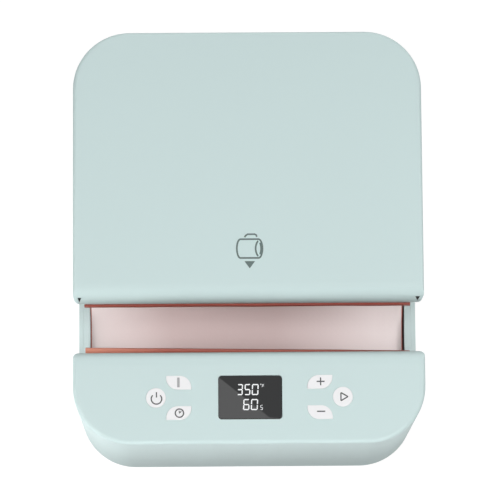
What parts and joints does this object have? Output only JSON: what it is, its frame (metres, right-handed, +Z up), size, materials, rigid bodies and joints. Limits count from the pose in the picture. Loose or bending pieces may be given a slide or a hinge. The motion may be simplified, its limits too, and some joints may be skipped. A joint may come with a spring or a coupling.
{
  "type": "mug heat press",
  "caption": "Box-shaped press with rounded corners whose rear jaw slides back, so a mug laid in the curved heated jaws is wrapped and held while a design is pressed on.",
  "frame": {"origin": "on the table, under the middle of the press", "axes": "+Z up, -Y towards the user and the control panel, +X to the user's right, along the mug's axis"},
  "size_m": [0.196, 0.233, 0.1465],
  "materials": {
    "mint_plastic": "satin moulded plastic",
    "white_plastic": "smooth moulded plastic",
    "dark_plastic": "black moulded plastic",
    "dark_lens": "smoked clear plastic, read as dark",
    "mat_fabric": "grey-pink coated cloth over silicone",
    "copper_silicone": "copper-brown silicone",
    "foam": "heat-proof felt or foam",
    "steel": "bright steel",
    "aluminium": "plain sheet",
    "brass": "plain",
    "rubber": "matt",
    "board_green": "circuit board",
    "cable_black": "insulated wires",
    "relay_blue": "relay case"
  },
  "bodies": {
    "base": {"base_tray": "mint_plastic", "foot_front_left": "rubber", "foot_front_right": "rubber", "foot_rear_left": "rubber", "foot_rear_right": "rubber", "end_plate_left": "mint_plastic", "end_plate_right": "mint_plastic", "jaw_cradle_left": "dark_plastic", "jaw_cradle_right": "dark_plastic", "front_jaw_shell": "aluminium", "front_foam": "foam", "front_heater_mat": "mat_fabric", "front_mat_edge": "copper_silicone", "deck_plate": "dark_plastic", "deck_screw_left": "steel", "deck_screw_right": "steel", "guide_rod_left": "steel", "guide_rod_right": "steel", "gearbox": "steel", "gear_motor": "aluminium", "motor_bracket": "steel", "limit_switch_front": "dark_plastic", "limit_switch_rear": "dark_plastic", "power_inlet": "dark_plastic", "power_board": "board_green", "transformer": "steel", "heater_relay": "relay_blue", "filter_capacitor": "dark_plastic", "thermostat": "aluminium", "wire_harness": "cable_black", "heater_lead": "cable_black", "mains_lead": "cable_black", "front_housing": "mint_plastic", "housing_screw_left": "steel", "housing_screw_right": "steel", "control_board": "board_green", "board_screw_left": "steel", "board_screw_right": "steel", "display_window": "dark_lens", "display_module": "dark_plastic"},
    "jaw_unit": {"rear_cover": "mint_plastic", "rear_jaw_shell": "aluminium", "rear_foam": "foam", "rear_heater_mat": "mat_fabric", "rear_mat_edge": "copper_silicone", "carriage_plate": "aluminium", "slide_bush_left": "brass", "slide_bush_right": "brass", "drive_rack": "steel", "jaw_rib_left": "steel", "jaw_rib_right": "steel", "cover_screw_left": "steel", "cover_screw_right": "steel"},
    "pinion": {"drive_pinion": "brass"},
    "power_button_body": {"power_button": "white_plastic"},
    "temperature_button_body": {"temperature_button": "white_plastic"},
    "timer_button_body": {"timer_button": "white_plastic"},
    "plus_button_body": {"plus_button": "white_plastic"},
    "minus_button_body": {"minus_button": "white_plastic"},
    "start_button_body": {"start_button": "white_plastic"}
  },
  "joints": [
    {"name": "jaw_slide", "type": "slide", "parent": "base", "child": "jaw_unit", "axis": [0, 1, 0], "range_m": [0, 0.065]},
    {"name": "pinion_spin", "type": "hinge", "parent": "base", "child": "pinion", "pos_m": [0, 0.04, 0.022], "axis": [1, 0, 0], "range_deg": [-415, 1]},
    {"name": "power_press", "type": "slide", "parent": "base", "child": "power_button_body", "axis": [0, 0, -1], "range_m": [0, 0.0008], "stiffness_N_per_m": 600},
    {"name": "temperature_press", "type": "slide", "parent": "base", "child": "temperature_button_body", "axis": [0, 0, -1], "range_m": [0, 0.0008], "stiffness_N_per_m": 600},
    {"name": "timer_press", "type": "slide", "parent": "base", "child": "timer_button_body", "axis": [0, 0, -1], "range_m": [0, 0.0008], "stiffness_N_per_m": 600},
    {"name": "plus_press", "type": "slide", "parent": "base", "child": "plus_button_body", "axis": [0, 0, -1], "range_m": [0, 0.0008], "stiffness_N_per_m": 600},
    {"name": "minus_press", "type": "slide", "parent": "base", "child": "minus_button_body", "axis": [0, 0, -1], "range_m": [0, 0.0008], "stiffness_N_per_m": 600},
    {"name": "start_press", "type": "slide", "parent": "base", "child": "start_button_body", "axis": [0, 0, -1], "range_m": [0, 0.0008], "stiffness_N_per_m": 600}
  ],
  "couplings": [
    {"joint": "pinion_spin", "follows": "jaw_slide", "rad_per_m": -111.11}
  ]
}
